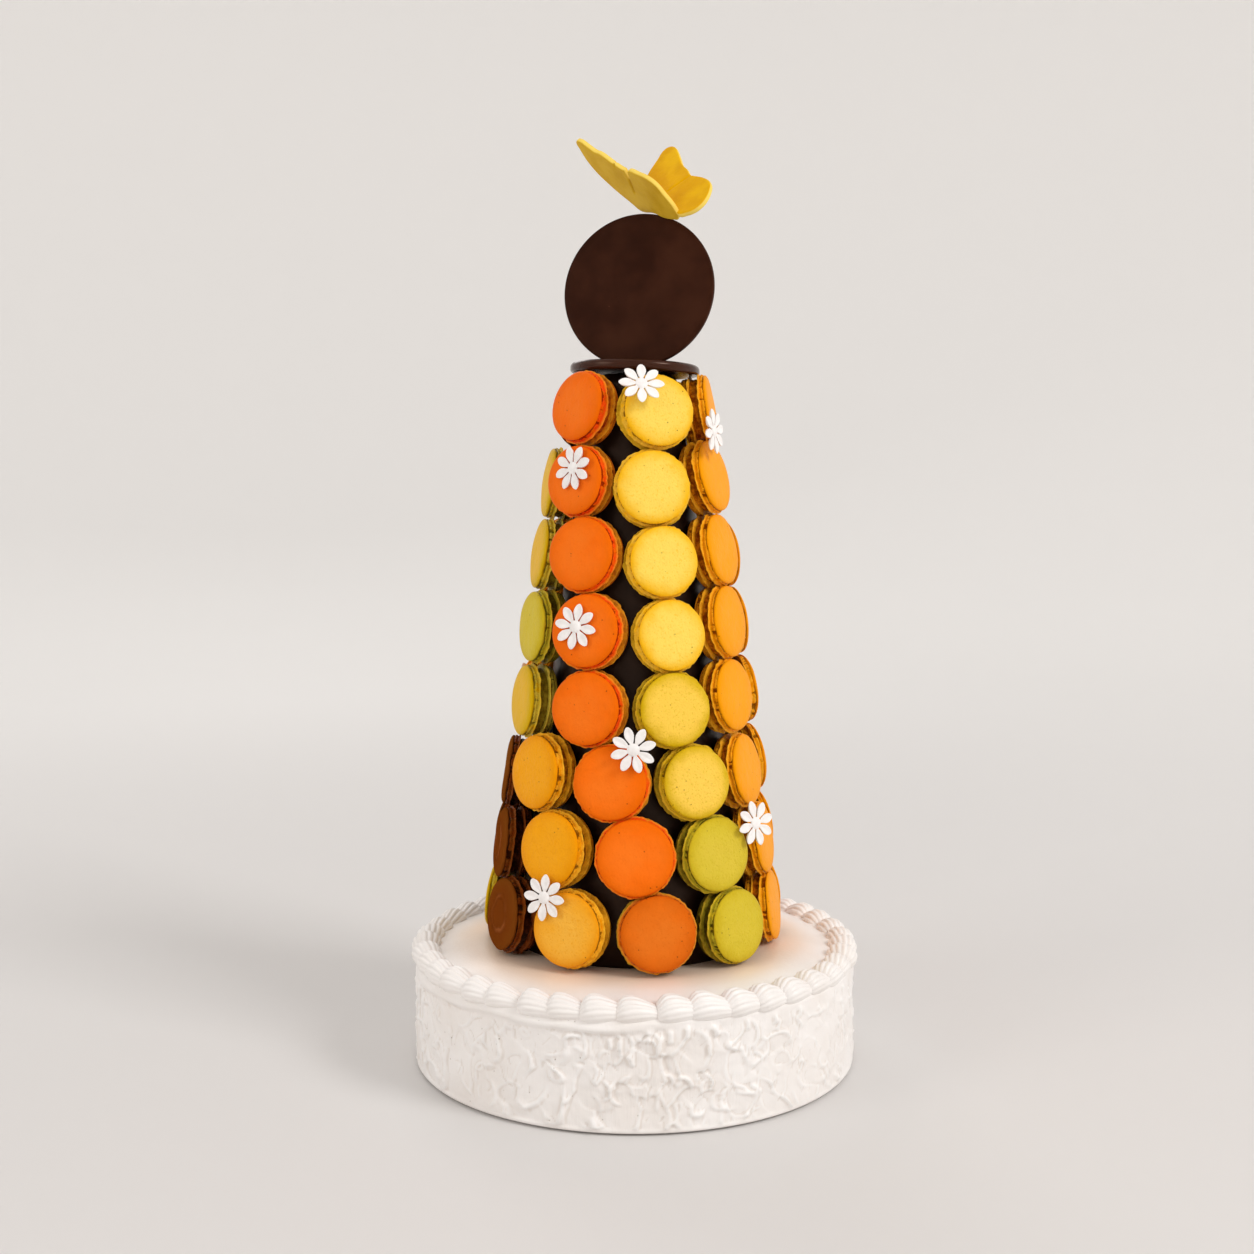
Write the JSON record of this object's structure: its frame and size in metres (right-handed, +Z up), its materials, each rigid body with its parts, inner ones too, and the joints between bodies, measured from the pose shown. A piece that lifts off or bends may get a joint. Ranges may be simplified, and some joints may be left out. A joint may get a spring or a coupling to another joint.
{
  "type": "macaron tower",
  "caption": "Dark chocolate cone clad with filled macarons, on a round frosted cake with a piped shell border, topped by chocolate discs and a fondant butterfly.",
  "frame": {"origin": "centre of the flat bottom of the cake, on the surface it stands on", "axes": "+Z up along the axis of the tower, -Y towards the front that the picture shows, +X to the right seen from the front"},
  "size_m": [0.2584, 0.258, 0.5238],
  "materials": {
    "frosting": "soft white buttercream, spread smooth in places and stippled in others",
    "dark_chocolate": "smooth tempered dark chocolate",
    "yellow_fondant": "smooth yellow fondant",
    "white_fondant": "matt white fondant",
    "orange_macaron": "satin orange macaron shell",
    "terracotta_macaron": "satin red-orange macaron shell",
    "apricot_macaron": "satin light orange macaron shell",
    "amber_macaron": "satin amber macaron shell",
    "yellow_macaron": "finely pebbled yellow macaron shell",
    "lime_yellow_macaron": "finely pebbled green-yellow macaron shell",
    "green_macaron": "satin yellow-green macaron shell",
    "olive_macaron": "satin olive-gold macaron shell",
    "brown_macaron": "glossy brown macaron shell"
  },
  "bodies": {
    "root": {"cake": "frosting", "shell_border": "frosting", "chocolate_cone": "dark_chocolate", "chocolate_plate": "dark_chocolate", "chocolate_sign": "dark_chocolate", "butterfly": "yellow_fondant", "daisy_1": "white_fondant", "daisy_2": "white_fondant", "daisy_3": "white_fondant", "daisy_4": "white_fondant", "daisy_5": "white_fondant", "daisy_6": "white_fondant", "daisy_7": "white_fondant", "macaron_1_a": "orange_macaron", "macaron_1_b": "yellow_macaron", "macaron_1_c": "apricot_macaron", "macaron_2_a": "orange_macaron", "macaron_2_b": "yellow_macaron", "macaron_2_c": "apricot_macaron", "macaron_2_e": "olive_macaron", "macaron_3_a": "orange_macaron", "macaron_3_b": "yellow_macaron", "macaron_3_c": "apricot_macaron", "macaron_3_e": "olive_macaron", "macaron_4_a": "orange_macaron", "macaron_4_b": "yellow_macaron", "macaron_4_c": "apricot_macaron", "macaron_4_e": "green_macaron", "macaron_5_a": "orange_macaron", "macaron_5_b": "lime_yellow_macaron", "macaron_5_c": "apricot_macaron", "macaron_5_e": "olive_macaron", "macaron_6_a": "orange_macaron", "macaron_6_b": "lime_yellow_macaron", "macaron_6_c": "apricot_macaron", "macaron_6_d": "amber_macaron", "macaron_6_f": "brown_macaron", "macaron_7_a": "orange_macaron", "macaron_7_b": "green_macaron", "macaron_7_c": "apricot_macaron", "macaron_7_d": "amber_macaron", "macaron_7_f": "brown_macaron", "macaron_8_a": "terracotta_macaron", "macaron_8_b": "green_macaron", "macaron_8_c": "apricot_macaron", "macaron_8_d": "amber_macaron", "macaron_8_f": "brown_macaron", "macaron_8_g": "olive_macaron", "stack_h1": "yellow_macaron", "stack_h2": "amber_macaron", "stack_h3": "amber_macaron", "stack_i1": "orange_macaron", "stack_i2": "orange_macaron", "stack_j1": "amber_macaron", "stack_j2": "lime_yellow_macaron", "stack_j3": "green_macaron", "stack_k1": "brown_macaron", "stack_k2": "apricot_macaron", "stack_k3": "brown_macaron", "stack_l1": "brown_macaron"}
  },
  "joints": []
}
